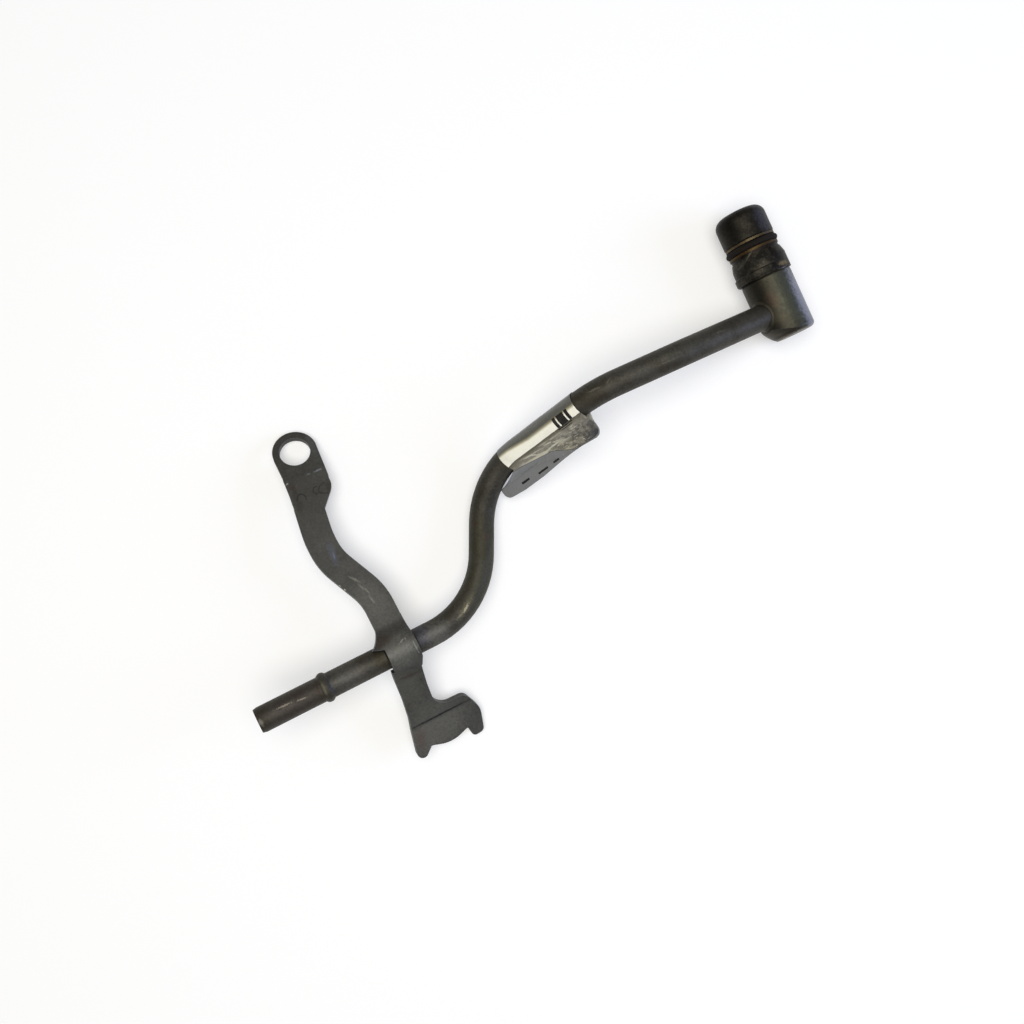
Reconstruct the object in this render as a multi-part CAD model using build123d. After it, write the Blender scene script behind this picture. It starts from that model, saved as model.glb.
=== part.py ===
from build123d import *
from math import acos, cos, degrees, radians, sin
import os

# Turbo coolant pipe, lying as it comes to rest, +Z up, millimetres.
# A bent steel tube ends in a hose spigot on the left and in a plug-in connector on the
# right, and a pressed strap bracket is brazed over it. The origin is at the bottom
# centre of the whole part, on the surface that it lies on.

# Tube stock
tube_diameter = 10.0
tube_wall = 1.0

# Bend table: corners of the tube's centre line and the radius of each bend
spigot_end = Vector(-94.0, -77.5, 34.1)
corner_near_bracket = Vector(-12.1, -37.8, 11.0)
corner_below_label = Vector(-12.0, 13.7, 4.2)
corner_above_label = Vector(30.6, 44.3, 34.0)
corner_near_block = Vector(62.6, 58.8, 32.2)
bend_radii = [35.0, 30.0, 30.0, 30.0]

# Hose spigot
bead_distance = 27.4
bead_height = 0.9
bead_width = 3.6
spigot_lead = 1.6
spigot_lead_depth = 0.35

# Connector block, with a domed corner on the tube's side
block_radius = 10.0
block_length = 24.6
block_end_round = 2.0
block_top_round = 0.8
dome_radius = 14.0
dome_offset = 3.0
port_height = 11.0
socket_depth = 3.4
socket_clearance = 0.05
port_drill_radius = 3.9
channel_radius = 5.5
channel_floor = 4.0
joint_x = 104.7
joint_y = 79.1
connector_turn = 24.3

# Turned plug of the connector, lengths from the block's top face
pilot_radius = 7.6
pilot_length = 5.0
pilot_clearance = 0.05
seam_radius = 9.2
seam_height = 0.3
flange_radius = 10.9
flange_top = 3.6
flange_offset = 0.4
flange_round = 0.9
cone_base_radius = 10.7
cone_straight_top = 6.5
cone_top_radius = 9.9
cone_top = 9.3
recess_radius = 9.5
recess_top = 10.8
land_radius = 9.9
land_width = 0.9
nose_radius = 10.1
nose_chamfer = 0.5
nose_round = 4.0
nose_length = 12.2
mouth_chamfer = 0.9

# Seal ring
seal_section = 2.5
seal_outer_radius = 10.55
seal_groove_width = 2.9
seal_clearance = 0.04

# Strap bracket: pressed steel sheet, folded square to the tube
sheet = 2.5
saddle_distance = 59.1
braze_gap = 0.05
flank_angle = 55.0
fold_radius = 7.5
crease_radius = 2.5
eye_fold_radius = 12.0
eye_side_fold = Vector(-8.0, -0.5)
arm_length = 69.6
arm_slope = 9.45
eye_slope = 20.0
eye_reach = 24.0
foot_side_fold = Vector(9.0, -1.5)
tail_length = 24.4
tail_slope = 25.0
foot_slope = 12.5
foot_reach = 20.0
strap_half_width = 24.0

# Bracket outline: offsets along the tube, and distances away from the folds
arm_width = 11.6
arm_route = [(0.1, -3.0), (0.1, 15.4), (9.0, 35.2), (9.2, 45.0), (7.2, 58.0)]
arm_route_radii = [25.0, 25.0, 40.0]
neck_corners = [
    (13.6, 52.0), (12.05, 65.0), (11.5, 72.0), (-4.9, 72.0), (-4.85, 61.8), (2.3, 54.2), (3.4, 48.0),
]
neck_radii = [0.0, 15.0, 0.0, 0.0, 5.5, 4.0, 0.0]
eye_offset = 2.3
eye_distance = 11.3
eye_hole_radius = 6.1
eye_rim = 2.75
pad_left = 11.5
pad_right = -5.15
pad_overlap = 3.6
saddle_left = 6.4
saddle_right = -5.8
saddle_right_low = -4.7
saddle_corner_drop = 5.5
ear_tip = (10.6, -4.4)
ear_middle = (7.2, -7.6)
ear_start = (5.5, -12.6)
ear_root = -2.9
tail_corners = [
    (7.4, -4.5), (7.5, 10.0), (8.2, 19.0), (12.1, 39.8), (4.3, 32.9), (-3.6, 35.7), (-11.6, 33.2),
    (-12.4, 37.7), (-17.2, 37.3), (-19.4, 28.3), (-15.6, 20.0), (-3.4, 19.6), (-3.6, 8.0), (-4.7, -4.5),
]
tail_radii = [0.0, 20.0, 20.0, 2.3, 1.0, 14.0, 0.6, 1.8, 2.2, 6.5, 3.6, 6.0, 20.0, 0.0]

# Braze metal
block_braze_leg = 1.5
bracket_braze_leg = 0.8
bracket_braze_angle = 46.0
braze_hollow = 0.3

# Label: the run ends with the straight that leads to the bend above it
label_film = 0.4
label_clearance = 0.05
label_length = 42.0
label_path_edges = 5
flag_meet = 8.5
flag_reach = 16.0
flag_thickness = 0.8
flag_overhang_low = 9.0
flag_overhang_high = 2.0
flag_corners = [(-0.7, 0.0), (-0.7, 14.4), (9.3, 13.3), (36.0, 13.8), (43.9, 13.2), (43.9, 9.0), (38.5, 0.0)]
flag_corner_radii = [0.0, 2.0, 20.0, 20.0, 2.2, 3.0, 0.0]

# Worked out from the dimensions above
tube_radius = tube_diameter / 2
tube_bore_radius = tube_radius - tube_wall
joint_point = Vector(joint_x, joint_y, flange_radius)
port_direction = (corner_near_block - joint_point).normalized()
pipe_end = joint_point + port_direction * (block_radius - socket_depth)
spigot_direction = (spigot_end - corner_near_bracket).normalized()
saddle_point = spigot_end - spigot_direction * saddle_distance
across_tube = Vector(-spigot_direction.Y, spigot_direction.X, 0).normalized()
connector_axis = Vector(-sin(radians(connector_turn)), cos(radians(connector_turn)), 0)
top_of_block = block_length - port_height
plug_length = recess_top + 2 * land_width + seal_groove_width + nose_length
on_base = (Align.CENTER, Align.CENTER, Align.MIN)


def revolved(*points):
    """Turned form from a closed outline of (radius, height) points."""
    return revolve(make_face(Plane.XZ * Polyline(*points, close=True)), axis=Axis.Z)


def cylinder_along(start, direction, length, radius):
    return extrude(Plane(start, z_dir=direction) * Circle(radius), length)


def centre_line():
    corners = [
        spigot_end,
        corner_near_bracket,
        corner_below_label,
        corner_above_label,
        corner_near_block,
        pipe_end,
    ]
    return FilletPolyline(*corners, radius=bend_radii)


def rod(path, radius):
    return sweep(Plane(path @ 0, z_dir=path % 0) * Circle(radius), path)


def pipe():
    """Bent tube with a rolled bead behind the hose end and a lead on its lip."""
    path = centre_line()
    low, high = -bead_width / 2, bead_width / 2
    crest = (tube_radius + bead_height, 0)
    bead_outline = Plane.XZ * (
        Polyline((tube_radius, high), (tube_bore_radius, high), (tube_bore_radius, low), (tube_radius, low))
        + ThreePointArc((tube_radius, low), crest, (tube_radius, high))
    )
    bead_plane = Plane(spigot_end - spigot_direction * bead_distance, z_dir=spigot_direction)
    bead = bead_plane * revolve(make_face(bead_outline), axis=Axis.Z)
    lead = Plane(spigot_end, z_dir=spigot_direction) * revolved(
        (tube_radius - spigot_lead_depth, 0),
        (tube_diameter, 0),
        (tube_diameter, -spigot_lead),
        (tube_radius, -spigot_lead),
    )
    return rod(path, tube_radius) + bead - lead - rod(path, tube_bore_radius)


def connector_plane():
    """Where the tube's line meets the plug's axis: X up, Z along the plug, -Y to the tube."""
    return Plane(joint_point, x_dir=(0, 0, 1), z_dir=connector_axis)


def block_form():
    """Outside of the block: a rounded cylinder, domed where its end turns to the tube."""
    body = Pos(0, 0, -port_height) * Cylinder(block_radius, block_length, align=on_base)
    body = fillet(body.edges().group_by(Axis.Z)[0], block_end_round)
    body = fillet(body.edges().group_by(Axis.Z)[-1], block_top_round)
    tube_side = Box(
        2 * dome_radius, 2 * dome_radius, 2 * dome_radius, align=(Align.CENTER, Align.MAX, Align.MAX)
    )
    dome = Pos(0, dome_offset, 0) * Sphere(dome_radius)
    return connector_plane() * (body - (tube_side - dome))


def connector_block():
    channel_bottom = channel_floor - port_height
    channel = Pos(0, 0, channel_bottom) * Cylinder(
        channel_radius, top_of_block - channel_bottom, align=on_base
    )
    pilot_seat = Pos(0, 0, top_of_block - pilot_length) * Cylinder(
        pilot_radius + pilot_clearance, pilot_length, align=on_base
    )
    socket = cylinder_along(pipe_end, port_direction, block_radius, tube_radius + socket_clearance)
    drilling = cylinder_along(joint_point, port_direction, 2 * block_radius, port_drill_radius)
    return block_form() - connector_plane() * (channel + pilot_seat) - socket - drilling


def connector_plug():
    """Turned plug: pilot, seam, flange, cone, recess, seal groove and rounded nose."""
    groove_bottom = seal_outer_radius - seal_section - seal_clearance
    groove_low = recess_top + land_width
    groove_high = groove_low + seal_groove_width
    nose_low = groove_high + land_width
    body = revolved(
        (channel_radius, -pilot_length),
        (pilot_radius, -pilot_length),
        (pilot_radius, 0),
        (seam_radius, 0),
        (seam_radius, seam_height),
        (cone_base_radius, seam_height),
        (cone_base_radius, cone_straight_top),
        (cone_top_radius, cone_top),
        (recess_radius, cone_top),
        (recess_radius, recess_top),
        (land_radius, recess_top),
        (land_radius, groove_low),
        (groove_bottom, groove_low),
        (groove_bottom, groove_high),
        (land_radius, groove_high),
        (land_radius, nose_low),
        (nose_radius - nose_chamfer, nose_low),
        (nose_radius, nose_low + nose_chamfer),
        (nose_radius, plug_length),
        (channel_radius, plug_length),
    )
    rim = body.edges().group_by(Axis.Z)[-1].sort_by(SortBy.RADIUS)[-1]
    body = fillet(rim, nose_round)
    mouth = body.edges().group_by(Axis.Z)[-1].sort_by(SortBy.RADIUS)[0]
    body = chamfer(mouth, mouth_chamfer)
    flange = Pos(0, -flange_offset, seam_height) * Cylinder(
        flange_radius, flange_top - seam_height, align=on_base
    )
    flange = fillet(flange.edges().filter_by(GeomType.CIRCLE), flange_round)
    core = Cylinder(recess_radius, flange_top, align=on_base)
    return connector_plane() * Pos(0, 0, top_of_block) * (body + (flange - core))


def seal_ring():
    middle = recess_top + land_width + seal_groove_width / 2
    ring = Torus(seal_outer_radius - seal_section / 2, seal_section / 2)
    return connector_plane() * Pos(0, 0, top_of_block + middle) * ring


def block_braze():
    """Concave fillet of braze metal where the tube enters the block."""
    form = connector_plane() * Cylinder(block_radius, 2 * block_length)
    stub = cylinder_along(joint_point, port_direction, block_radius + 3 * block_braze_leg, tube_radius)
    foot = cylinder_along(
        joint_point, port_direction, block_radius + 2 * block_braze_leg, tube_radius + block_braze_leg
    )
    joined = form + stub

    def along_tube(edge):
        return (edge.center() - joint_point).dot(port_direction)

    entry = joined.edges().filter_by(lambda edge: 0 < along_tube(edge) < block_radius)
    return (fillet(entry, block_braze_leg) & foot) - block_form() - stub


def down_slope(start, length, slope, side):
    """A point further along a flat of the sheet, seen square to the tube."""
    return start + Vector(side * length * cos(radians(slope)), -length * sin(radians(slope)))


def sheet_plane(fold, slope, side):
    """Plane of one flat: X along the tube towards the hose end, Y away from the fold."""
    away = Vector(side * cos(radians(slope)), -sin(radians(slope)), 0)
    return Plane(fold, x_dir=(0, 0, 1), z_dir=Vector(0, 0, 1).cross(away))


def folded_strap(eye_fold, crease):
    """The sheet in its folded form, square to the tube, before its outline is cut."""
    saddle_line = tube_radius + braze_gap + sheet / 2
    line = FilletPolyline(
        down_slope(eye_fold, eye_reach, eye_slope, -1),
        eye_fold,
        eye_side_fold,
        Vector(0, saddle_line / cos(radians(flank_angle))),
        foot_side_fold,
        crease,
        down_slope(crease, foot_reach, foot_slope, 1),
        radius=[eye_fold_radius, fold_radius, saddle_line, fold_radius, crease_radius],
    )
    return extrude(trace(line, sheet), strap_half_width, both=True)


def punch(plane, outline):
    """Prism square to one flat, deep enough for its bends and no deeper."""
    return plane * extrude(outline, 3 * sheet, both=True)


def eye_outline():
    rim_radius = eye_hole_radius + eye_rim
    pad = Polyline(
        (pad_left, -pad_overlap),
        (eye_offset + rim_radius, eye_distance),
        (eye_offset - rim_radius, eye_distance),
        (pad_right, -pad_overlap),
        close=True,
    )
    return Pos(eye_offset, eye_distance) * Circle(rim_radius) + make_face(pad)


def arm_outline():
    arm = trace(FilletPolyline(*arm_route, radius=arm_route_radii), arm_width)
    return arm + make_face(FilletPolyline(*neck_corners, radius=neck_radii, close=True))


def saddle_outline():
    """Crown of the saddle, with the small ear that rests on the tube on the hose side."""
    crown = Polyline(
        (saddle_left, foot_side_fold.X),
        (saddle_right_low, foot_side_fold.X),
        (saddle_right, saddle_corner_drop),
        (saddle_right, -tube_radius),
        (-arm_width / 2, ear_start[1]),
        (ear_start[0], ear_start[1]),
        (saddle_left, -tube_radius),
        close=True,
    )
    ear = (
        Line((0, ear_start[1]), ear_start)
        + ThreePointArc(ear_start, ear_middle, ear_tip)
        + Polyline(ear_tip, (saddle_left, ear_root), (0, ear_root), (0, ear_start[1]))
    )
    return make_face(crown) + make_face(ear)


def bracket_plane():
    """On the tube's axis under the saddle: X across to the foot, Z towards the hose end."""
    return Plane(saddle_point, x_dir=across_tube, z_dir=spigot_direction)


def bracket():
    """One pressed strap: bolt eye, curved arm, saddle over the tube, tail and forked foot."""
    eye_fold = down_slope(eye_side_fold, arm_length, arm_slope, -1)
    crease = down_slope(foot_side_fold, tail_length, tail_slope, 1)
    strap = folded_strap(eye_fold, crease)
    eye_plane = sheet_plane(eye_fold, eye_slope, -1)
    arm_plane = sheet_plane(eye_side_fold, arm_slope, -1)
    tail_plane = sheet_plane(foot_side_fold, tail_slope, 1)
    saddle_plane = Plane(origin=(0, 0, 0), x_dir=(0, 0, 1), z_dir=(0, 1, 0))
    tail_outline = make_face(FilletPolyline(*tail_corners, radius=tail_radii, close=True))
    solid = strap & punch(eye_plane, eye_outline())
    solid += strap & punch(arm_plane, arm_outline())
    solid += strap & punch(tail_plane, tail_outline)
    solid += strap & saddle_plane * extrude(saddle_outline(), 2 * tube_diameter, both=True)
    bolt_hole = punch(eye_plane, Pos(eye_offset, eye_distance) * Circle(eye_hole_radius))
    return bracket_plane() * (solid - bolt_hole)


def bracket_braze(strap):
    """Beads of braze metal on the tube along both edges of the saddle."""
    foot = bracket_braze_leg
    beads = []
    for edge, side in ((saddle_left, 1), (saddle_right, -1)):
        toe = (tube_radius, edge + side * foot)
        corner = (tube_radius, edge)
        top = (tube_radius + foot, edge)
        hollow = (tube_radius + braze_hollow * foot, edge + side * braze_hollow * foot)
        section = Plane.XZ * (Polyline(toe, corner, top) + ThreePointArc(top, hollow, toe))
        turned = revolve(make_face(section), axis=Axis.Z, revolution_arc=2 * bracket_braze_angle)
        beads.append(Rot(0, 0, 90 - bracket_braze_angle) * turned)
    return bracket_plane() * (beads[0] + beads[1]) - strap


def label():
    """Film wrapped round the tube, its two ends pressed together as a flag."""
    path = centre_line()
    lengths = [edge.length for edge in path.edges()]
    total = sum(lengths)
    top = sum(lengths[:label_path_edges])
    wrap_path = path.trim((top - label_length) / total, top / total)
    flag_path = path.trim(
        (top - label_length - flag_overhang_low) / total, (top + flag_overhang_high) / total
    )
    inner = tube_radius + label_clearance
    outer = inner + label_film
    touch = Vector(outer, 0).rotate(Axis.Z, degrees(acos(outer / flag_meet)))
    wedge = make_face(Polyline((0, 0), touch, (flag_meet, 0), (touch.X, -touch.Y), close=True))
    wrap_section = Circle(outer) + wedge - Circle(inner)
    root = inner + label_film / 2
    flag_section = Pos((root + flag_reach) / 2, 0) * Rectangle(flag_reach - root, flag_thickness)

    def swept(section, line):
        heading = line % 0
        return sweep(Plane(line @ 0, x_dir=heading.cross(Vector(0, 0, 1)), z_dir=heading) * section, line)

    run = (corner_below_label - corner_above_label).normalized()
    corner = wrap_path @ 1
    cut_plane = Plane((corner.X, corner.Y, 0), x_dir=(run.X, run.Y, 0), z_dir=(0, 0, 1))
    cut_outline = make_face(FilletPolyline(*flag_corners, radius=flag_corner_radii, close=True))
    cut = cut_plane * extrude(cut_outline, 2 * spigot_end.Z)
    return swept(wrap_section, wrap_path) + (swept(flag_section, flag_path) & cut)


strap_bracket = bracket()
formed = {
    "pipe": pipe(),
    "connector_block": connector_block(),
    "connector_spigot": connector_plug(),
    "seal_ring": seal_ring(),
    "block_braze": block_braze(),
    "bracket": strap_bracket,
    "bracket_braze": bracket_braze(strap_bracket),
    "label": label(),
}
bounds = Compound(list(formed.values())).bounding_box()
table_shift = Vector(-bounds.center().X, -bounds.center().Y, -bounds.min.Z)
pieces = {name: Pos(*table_shift) * form for name, form in formed.items()}

os.makedirs("parts", exist_ok=True)
for name, piece in pieces.items():
    print(name, round(piece.volume, 1), "mm3")
    export_step(piece, f"parts/{name}.step")
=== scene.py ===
import math
import bpy
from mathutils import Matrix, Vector, noise


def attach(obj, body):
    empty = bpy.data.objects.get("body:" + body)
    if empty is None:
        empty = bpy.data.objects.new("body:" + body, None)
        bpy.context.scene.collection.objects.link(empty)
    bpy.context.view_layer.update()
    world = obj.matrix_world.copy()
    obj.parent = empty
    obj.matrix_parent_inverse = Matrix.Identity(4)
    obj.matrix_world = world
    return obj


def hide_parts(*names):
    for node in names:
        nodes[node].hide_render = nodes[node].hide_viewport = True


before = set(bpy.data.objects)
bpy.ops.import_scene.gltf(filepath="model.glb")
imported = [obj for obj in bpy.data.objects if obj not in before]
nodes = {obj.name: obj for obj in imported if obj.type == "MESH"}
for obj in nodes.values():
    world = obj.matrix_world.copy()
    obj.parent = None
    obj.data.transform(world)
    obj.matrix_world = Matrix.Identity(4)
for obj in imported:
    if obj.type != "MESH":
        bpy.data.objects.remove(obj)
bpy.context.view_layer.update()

# Bent steel coolant pipe for a turbocharger, seen from straight above on a pale table.
# The frame is in metres. Sizes below are in millimetres and are turned by mm.
mm = 0.001

# Lines that the pieces share with the solids
jointPoint = Vector((93.9898, 67.6206, 10.9))  # where the tube's axis meets the block's
connectorAxis = Vector((-0.411514, 0.911403, 0.0))  # from the block to the plug's nose
print("frame loaded:", len(nodes), "nodes")


def linear(hexColour):
    parts = [int(hexColour[i:i + 2], 16) / 255 for i in (1, 3, 5)]
    return [p / 12.92 if p <= 0.04045 else ((p + 0.055) / 1.055) ** 2.4 for p in parts] + [1.0]


def addNode(tree, kind, settings=None, links=None):
    made = tree.nodes.new(kind)
    for key, value in (settings or {}).items():
        if isinstance(key, str) and hasattr(made, key):
            setattr(made, key, value)
        else:
            made.inputs[key].default_value = value
    for key, source in (links or {}).items():
        socket = source if isinstance(source, bpy.types.NodeSocket) else source.outputs[0]
        tree.links.new(socket, made.inputs[key])
    return made


def newMaterial(name):
    material = bpy.data.materials.new(name)
    material.use_nodes = True
    material.node_tree.nodes.clear()
    return material, material.node_tree


def dress(nodeName, material):
    data = nodes[nodeName]
    for index in range(len(data.material_slots)):
        data.material_slots[index].link = "OBJECT"
        data.material_slots[index].material = material


def laidOver(tree, colour, coats):
    # each coat is a hex colour and its mask, laid over those before it
    for hexColour, mask in coats:
        coat = addNode(tree, "ShaderNodeMix", {"data_type": "RGBA", 7: linear(hexColour)},
                       {0: mask, 6: colour})
        colour = coat.outputs[2]
    return colour


def stretchMask(tree, value, low, high, soft, strength=1.0, unit=1.0):
    # the stretch from low to high, with its ends softened
    rise = addNode(tree, "ShaderNodeMapRange",
                   {"From Min": (low - soft) * unit, "From Max": (low + soft) * unit,
                    "To Max": strength}, {"Value": value})
    fall = addNode(tree, "ShaderNodeMapRange",
                   {"From Min": (high - soft) * unit, "From Max": (high + soft) * unit,
                    "To Min": 1.0, "To Max": 0.0}, {"Value": value})
    return addNode(tree, "ShaderNodeMath", {"operation": "MULTIPLY"}, {0: rise, 1: fall})


def ellipsoid(tree, where, centre, radii, turn):
    # coordinates in which the ellipsoid has the radius 1, and the distance from its centre
    local = addNode(tree, "ShaderNodeMapping",
                    {"vector_type": "TEXTURE", "Location": Vector(centre) * mm,
                     "Rotation": (0, 0, math.radians(turn)), "Scale": Vector(radii) * mm},
                    {"Vector": where})
    reach = addNode(tree, "ShaderNodeVectorMath", {"operation": "LENGTH"}, {0: local})
    return local, reach.outputs["Value"]


# Metal: one way of building for all the steel and the braze. Cloudy oxide patches, fine
# grain, stains, painted shade and painted highlights at their places, edges brightened by
# wear and on the bracket also by a painted highlight, and scratches. The clouds also change the
# gloss.
# Turning lines and scratches are drawn coarser than real ones, which wouldn't show.
metalRules = {
    "bandSoft": 0.12,  # mm that a band's edge takes to fade
    # a spot fades from outside to inside, in radii, after its noise is added; grain in mm
    "spots": {"marks": {"grain": 1.2, "breakUp": 1.1, "outside": 2.0, "inside": 0.95},
              "scuffsAndGlints": {"grain": 0.45, "breakUp": 2.6, "outside": 2.3, "inside": 1.6}},
    "edgeGrain": 1.2, "arcWave": 0.5, "arcRadius": 1.25, "arcOuter": 0.22, "arcInner": 0.08,
    "bevelSamples": 4, "edgeFrom": 0.99, "edgeFull": 0.8,  # cosines of the edge's turn
    "scratchFrom": 0.68, "scratchFull": 0.80, "scratchDepth": -0.6,
    "speckSize": 0.9, "noiseMiddle": (0.35, 0.65),
    "turningDepth": 0.3, "turningTone": (0.95, 1.05), "bumpHeight": 0.06,
}


def metalMaterial(look, rules=metalRules):
    material, tree = newMaterial(look["name"])
    where = addNode(tree, "ShaderNodeTexCoord").outputs["Object"]
    base = addNode(tree, "ShaderNodeRGB").outputs[0]
    base.default_value = linear(look["base"])
    rough = addNode(tree, "ShaderNodeValue").outputs[0]
    rough.default_value = look["roughness"]
    coats = []

    # cloudy patches: hex, size in mm, noise level where they start and end, strength
    for hexColour, size, low, high, strength in look["patches"]:
        cloud = addNode(tree, "ShaderNodeTexNoise",
                        {"Scale": 1 / (size * mm), "Detail": 4.0, "Roughness": 0.6,
                         "Distortion": 0.4}, {"Vector": where})
        mask = addNode(tree, "ShaderNodeMapRange",
                       {"interpolation_type": "SMOOTHSTEP", "From Min": low, "From Max": high,
                        "To Max": strength}, {"Value": cloud})
        coats.append((hexColour, mask))
        rough = addNode(tree, "ShaderNodeMath",
                        {"operation": "MULTIPLY_ADD", 1: look["patchGloss"]},
                        {0: mask, 2: rough}).outputs[0]

    # bands across the turned axis: from, to in mm, hex, strength
    if "axis" in look:
        fromOrigin = addNode(tree, "ShaderNodeVectorMath",
                             {"operation": "SUBTRACT", 1: look["origin"] * mm}, {0: where})
        along = addNode(tree, "ShaderNodeVectorMath",
                        {"operation": "DOT_PRODUCT", 1: look["axis"]},
                        {0: fromOrigin}).outputs["Value"]
        for start, end, hexColour, strength in look["bands"]:
            mask = stretchMask(tree, along, start, end, rules["bandSoft"], strength, mm)
            coats.append((hexColour, mask))

    # marks (stains, painted shade and painted highlights) fade out softly, and scuff marks and
    # painted glints are broken up finely: centre, radii in mm, turn in degrees, hex, strength
    for kind, rule in rules["spots"].items():
        if kind not in look:
            continue
        breakUp = addNode(tree, "ShaderNodeTexNoise",
                          {"Scale": 1 / (rule["grain"] * mm), "Detail": 3.0}, {"Vector": where})
        for centre, radii, turn, hexColour, strength in look[kind]:
            reach = ellipsoid(tree, where, centre, radii, turn)[1]
            reach = addNode(tree, "ShaderNodeMath",
                            {"operation": "MULTIPLY_ADD", 1: rule["breakUp"]},
                            {0: breakUp, 2: reach})
            mask = addNode(tree, "ShaderNodeMapRange",
                           {"interpolation_type": "SMOOTHSTEP", "From Min": rule["outside"],
                            "From Max": rule["inside"], "To Max": strength}, {"Value": reach})
            coats.append((hexColour, mask))

    # press marks: a thin arc round a centre, kept where the local Y is above the cut
    for centre, radii, turn, cut, hexColour, strength in look.get("arcs", []):
        local, reach = ellipsoid(tree, where, centre, radii, turn)
        wave = addNode(tree, "ShaderNodeTexNoise",
                       {"Scale": 1 / (rules["edgeGrain"] * mm), "Detail": 3.0}, {"Vector": where})
        wavy = addNode(tree, "ShaderNodeMath", {"operation": "MULTIPLY_ADD", 1: rules["arcWave"]},
                       {0: wave, 2: reach})
        past = addNode(tree, "ShaderNodeMath", {"operation": "SUBTRACT", 1: rules["arcRadius"]},
                       {0: wavy})
        off = addNode(tree, "ShaderNodeMath", {"operation": "ABSOLUTE"}, {0: past})
        line = addNode(tree, "ShaderNodeMapRange",
                       {"From Min": rules["arcOuter"], "From Max": rules["arcInner"],
                        "To Max": strength}, {"Value": off})
        sides = addNode(tree, "ShaderNodeSeparateXYZ", None, {0: local})
        kept = addNode(tree, "ShaderNodeMath", {"operation": "GREATER_THAN", 1: cut},
                       {0: sides.outputs["Y"]})
        mask = addNode(tree, "ShaderNodeMath", {"operation": "MULTIPLY"}, {0: line, 1: kept})
        coats.append((hexColour, mask))

    # edges painted brighter where the surface turns sharply, for wear and on the bracket also as
    # a painted highlight: hex, width in mm, strength
    if "brightEdges" in look:
        hexColour, width, strength = look["brightEdges"]
        rounded = addNode(tree, "ShaderNodeBevel",
                          {"samples": rules["bevelSamples"], "Radius": width * mm})
        plain = addNode(tree, "ShaderNodeNewGeometry").outputs["Normal"]
        turned = addNode(tree, "ShaderNodeVectorMath", {"operation": "DOT_PRODUCT"},
                         {0: rounded, 1: plain}).outputs["Value"]
        edge = addNode(tree, "ShaderNodeMapRange",
                       {"From Min": rules["edgeFrom"], "From Max": rules["edgeFull"],
                        "To Max": strength}, {"Value": turned})
        edgeBreakUp = addNode(tree, "ShaderNodeTexNoise",
                       {"Scale": 1 / (rules["edgeGrain"] * mm), "Detail": 3.0}, {"Vector": where})
        mask = addNode(tree, "ShaderNodeMath", {"operation": "MULTIPLY"}, {0: edge, 1: edgeBreakUp})
        coats.append((hexColour, mask))

    # fine scratches, the peaks of a stretched noise: hex, length and width in mm, strength
    hexColour, length, width, strength = look["scratches"]
    stretched = addNode(tree, "ShaderNodeMapping",
                        {"Rotation": (0, 0, math.radians(look["scratchTurn"])),
                         "Scale": (1 / (length * mm), 1 / (width * mm), 1 / (width * mm))},
                        {"Vector": where})
    lines = addNode(tree, "ShaderNodeTexNoise", {"Scale": 1.0, "Detail": 2.0},
                    {"Vector": stretched})
    scratched = addNode(tree, "ShaderNodeMapRange",
                        {"From Min": rules["scratchFrom"], "From Max": rules["scratchFull"],
                         "To Max": strength}, {"Value": lines})
    coats.append((hexColour, scratched))
    colour = laidOver(tree, base, coats)

    # mottle: specks that scale the colour up and down by the same share
    low, high = rules["noiseMiddle"]
    specks = addNode(tree, "ShaderNodeTexNoise",
                     {"Scale": 1 / (rules["speckSize"] * mm), "Detail": 4.0, "Roughness": 0.75},
                     {"Vector": where})
    speck = addNode(tree, "ShaderNodeMapRange",
                    {"From Min": low, "From Max": high, "To Min": 1 - look["mottle"],
                     "To Max": 1 + look["mottle"]}, {"Value": specks})
    colour = addNode(tree, "ShaderNodeVectorMath", {"operation": "SCALE"},
                     {0: colour, "Scale": speck}).outputs[0]

    # bump: grain of the skin, the scratches and the turning lines across the axis
    grain = addNode(tree, "ShaderNodeTexNoise",
                    {"Scale": 1 / (look["grain"] * mm), "Detail": 5.0}, {"Vector": where})
    height = addNode(tree, "ShaderNodeMath",
                     {"operation": "MULTIPLY_ADD", 1: rules["scratchDepth"]},
                     {0: scratched, 2: grain})
    if "turning" in look:
        rings = addNode(tree, "ShaderNodeTexNoise",
                        {"noise_dimensions": "1D", "Scale": 1 / (look["turning"] * mm),
                         "Detail": 1.0}, {"W": along})
        height = addNode(tree, "ShaderNodeMath",
                         {"operation": "MULTIPLY_ADD", 1: rules["turningDepth"]},
                         {0: rings, 2: height})
        darkest, lightest = rules["turningTone"]
        tone = addNode(tree, "ShaderNodeMapRange",
                       {"From Min": low, "From Max": high, "To Min": darkest,
                        "To Max": lightest}, {"Value": rings})
        colour = addNode(tree, "ShaderNodeVectorMath", {"operation": "SCALE"},
                         {0: colour, "Scale": tone}).outputs[0]
    bump = addNode(tree, "ShaderNodeBump",
                   {"Strength": look["bump"], "Distance": rules["bumpHeight"] * mm},
                   {"Height": height})
    shader = addNode(tree, "ShaderNodeBsdfPrincipled", {"Metallic": look["metallic"]},
                     {"Base Color": colour, "Roughness": rough, "Normal": bump})
    addNode(tree, "ShaderNodeOutputMaterial", None, {"Surface": shader})
    return material
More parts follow.
